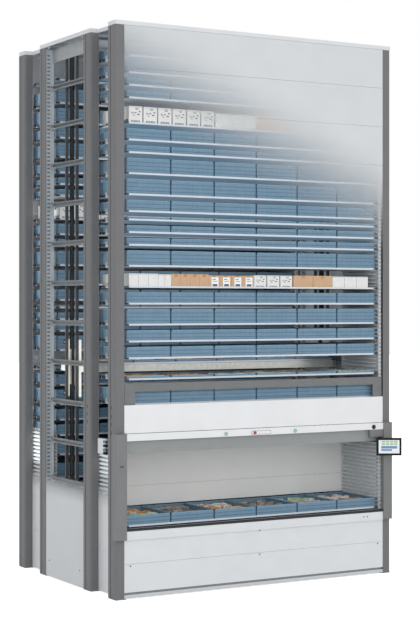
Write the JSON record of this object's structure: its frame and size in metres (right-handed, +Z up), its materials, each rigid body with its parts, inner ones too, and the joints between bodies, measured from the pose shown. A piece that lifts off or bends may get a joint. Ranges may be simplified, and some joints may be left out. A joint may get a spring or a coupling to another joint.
{
  "type": "vertical lift module",
  "caption": "Tall automatic storage cabinet: a lift between a front and a rear stack of trays brings a tray of bins to an access opening with a counter and a touch panel.",
  "frame": {"origin": "on the floor, in the middle of the eight foot plates' outline", "axes": "+Z up; -Y is the front with the access opening; +X to the right of someone facing that opening"},
  "size_m": [3.388, 2.668, 5.8],
  "materials": {
    "grey_paint": "satin",
    "opening_paint": "satin",
    "cover_clear": "satin",
    "cover_white": "satin",
    "roof_white": "satin",
    "counter_black": "matte",
    "galvanised": "satin",
    "guide_dark": "matte",
    "tray_white": "satin",
    "tray_blue": "satin",
    "bin_blue": "matte",
    "carton_board": "matte",
    "belt_rubber": "matte",
    "machined_steel": "satin",
    "bearing_iron": "matte",
    "roller_plastic": "matte",
    "button_green": "gloss",
    "button_red": "gloss",
    "panel_black": "satin",
    "screw_steel": "satin"
  },
  "bodies": {
    "cabinet": {"foot_plates": "grey_paint", "front_posts": "grey_paint", "rear_posts": "grey_paint", "roof_cover": "roof_white", "side_covers": "cover_clear", "recess_covers": "cover_clear", "rear_covers": "cover_white", "front_upper_covers": "cover_clear", "header_cover": "cover_white", "base_cover_upper": "cover_white", "base_cover_lower": "cover_white", "plinth": "cover_white", "control_band": "cover_white", "label_plate": "cover_white", "opening_head": "opening_paint", "opening_back_wall": "cover_white", "counter_band": "cover_white", "counter_edge": "counter_black", "counter_ledge": "cover_white", "opening_covers": "opening_paint", "portal_frame": "galvanised", "floor_frame": "galvanised", "side_uprights": "galvanised", "side_braces": "galvanised", "roof_frame": "galvanised", "rack_uprights": "galvanised", "tray_ribs": "galvanised", "stored_trays_front": "tray_white", "stored_trays_rear": "tray_white", "stored_bins_front": "bin_blue", "stored_bins_rear": "bin_blue", "stored_cartons": "carton_board", "lift_guides": "guide_dark", "lift_belts": "belt_rubber", "shaft_bearings": "bearing_iron", "gear_motor": "bearing_iron", "panel_bracket": "opening_paint", "terminal_box": "cover_white", "cover_screws": "screw_steel"},
    "lift": {"lift_side_plates": "galvanised", "lift_platform": "galvanised", "extractor_chains": "machined_steel"},
    "lift_tray": {"lift_tray": "tray_white", "lift_bins": "bin_blue"},
    "access_tray": {"access_tray": "tray_blue", "access_bins": "bin_blue"},
    "carton_tray": {"carton_tray": "tray_white", "cartons": "carton_board"},
    "drive_shaft": {"drive_shaft": "machined_steel"},
    "upper_pulleys": {"upper_pulleys": "machined_steel"},
    "lift_rollers_upper": {"lift_rollers_upper": "roller_plastic"},
    "lift_rollers_lower": {"lift_rollers_lower": "roller_plastic"},
    "extractor_shaft_front": {"extractor_shaft_front": "machined_steel"},
    "extractor_shaft_rear": {"extractor_shaft_rear": "machined_steel"},
    "green_button_left": {"green_button_left": "button_green"},
    "green_button_right": {"green_button_right": "button_green"},
    "stop_button": {"stop_button": "button_red"},
    "key_switch": {"key_switch": "panel_black"},
    "panel_arm": {"panel_arm": "panel_black"},
    "operator_panel": {"operator_panel": "panel_black"}
  },
  "joints": [
    {"name": "lift_travel", "type": "slide", "parent": "cabinet", "child": "lift", "axis": [0, 0, 1], "range_m": [-1.7808, 3.1376]},
    {"name": "lift_tray_shuttle", "type": "slide", "parent": "lift", "child": "lift_tray", "axis": [0, 1, 0], "range_m": [-0.831, 0.831]},
    {"name": "access_tray_travel", "type": "slide", "parent": "cabinet", "child": "access_tray", "axis": [0, 1, 0], "range_m": [0, 0.831]},
    {"name": "carton_tray_travel", "type": "slide", "parent": "cabinet", "child": "carton_tray", "axis": [0, 1, 0], "range_m": [0, 0.831]},
    {"name": "drive_shaft_turn", "type": "hinge", "parent": "cabinet", "child": "drive_shaft", "pos_m": [0, 0, 0.16], "axis": [1, 0, 0], "continuous": true},
    {"name": "upper_pulley_turn", "type": "hinge", "parent": "cabinet", "child": "upper_pulleys", "pos_m": [0, 0, 5.66], "axis": [1, 0, 0], "continuous": true},
    {"name": "roller_turn_upper", "type": "hinge", "parent": "lift", "child": "lift_rollers_upper", "pos_m": [0, 0.1663, 2.555], "axis": [1, 0, 0], "continuous": true},
    {"name": "roller_turn_lower", "type": "hinge", "parent": "lift", "child": "lift_rollers_lower", "pos_m": [0, 0.1663, 2.006], "axis": [1, 0, 0], "continuous": true},
    {"name": "extractor_turn_front", "type": "hinge", "parent": "lift", "child": "extractor_shaft_front", "pos_m": [0, -0.257, 2.2834], "axis": [1, 0, 0], "continuous": true},
    {"name": "extractor_turn_rear", "type": "hinge", "parent": "lift", "child": "extractor_shaft_rear", "pos_m": [0, 0.257, 2.2834], "axis": [1, 0, 0], "continuous": true},
    {"name": "green_left_push", "type": "slide", "parent": "cabinet", "child": "green_button_left", "axis": [0, 1, 0], "range_m": [0, 0.003], "stiffness_N_per_m": 400, "springref_m": -0.004},
    {"name": "green_right_push", "type": "slide", "parent": "cabinet", "child": "green_button_right", "axis": [0, 1, 0], "range_m": [0, 0.003], "stiffness_N_per_m": 400, "springref_m": -0.004},
    {"name": "stop_push", "type": "slide", "parent": "cabinet", "child": "stop_button", "axis": [0, 1, 0], "range_m": [0, 0.006], "stiffness_N_per_m": 800, "springref_m": -0.004},
    {"name": "key_turn", "type": "hinge", "parent": "cabinet", "child": "key_switch", "pos_m": [1.45, -1.25, 1.616], "axis": [0, 1, 0], "range_deg": [0, 90]},
    {"name": "panel_swivel", "type": "hinge", "parent": "cabinet", "child": "panel_arm", "pos_m": [1.54, -1.232, 1.54], "axis": [0, 0, 1], "range_deg": [-18, 30]},
    {"name": "panel_tilt", "type": "hinge", "parent": "panel_arm", "child": "operator_panel", "pos_m": [1.50907, -1.28573, 1.405], "axis": [0.8666, -0.4989, 0], "range_deg": [-12, 12]}
  ],
  "couplings": [
    {"joint": "drive_shaft_turn", "follows": "lift_travel", "rad_per_m": 41.152},
    {"joint": "upper_pulley_turn", "follows": "lift_travel", "rad_per_m": 41.152},
    {"joint": "roller_turn_upper", "follows": "lift_travel", "rad_per_m": 35.714},
    {"joint": "roller_turn_lower", "follows": "lift_travel", "rad_per_m": 35.714},
    {"joint": "extractor_turn_front", "follows": "lift_tray_shuttle", "rad_per_m": -35.336},
    {"joint": "extractor_turn_rear", "follows": "lift_tray_shuttle", "rad_per_m": -35.336}
  ]
}
